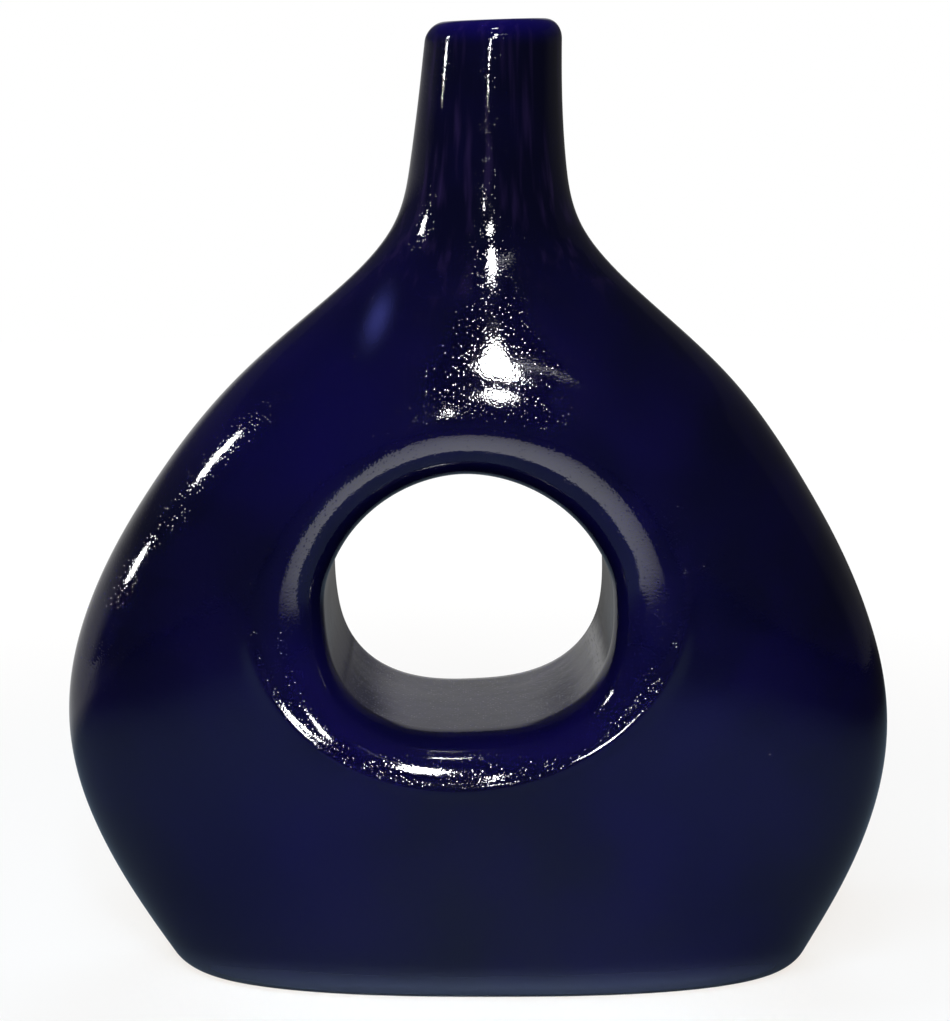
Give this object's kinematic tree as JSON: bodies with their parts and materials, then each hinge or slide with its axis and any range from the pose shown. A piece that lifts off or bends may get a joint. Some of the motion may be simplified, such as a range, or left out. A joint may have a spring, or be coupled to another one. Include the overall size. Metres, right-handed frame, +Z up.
{
  "type": "bottle vase",
  "caption": "Glazed stoneware bottle vase with a narrow round neck and a flattened, wide-bellied body pierced from front to back by an oval eye.",
  "frame": {"origin": "on the standing plane, under the middle of the belly's width and depth", "axes": "+Z up along the neck, +X to the right across the wide body, the front face with the eye looks along -Y"},
  "size_m": [0.2176, 0.079, 0.25],
  "materials": {
    "cobalt_glaze": "deep cobalt blue gloss glaze with a fine pitted skin",
    "bare_clay": "unglazed fired stoneware under the foot"
  },
  "bodies": {
    "root": {"base_slab": "cobalt_glaze", "front_shell": "cobalt_glaze", "rear_shell": "cobalt_glaze", "eye_sleeve": "cobalt_glaze", "neck": "cobalt_glaze"}
  },
  "joints": []
}
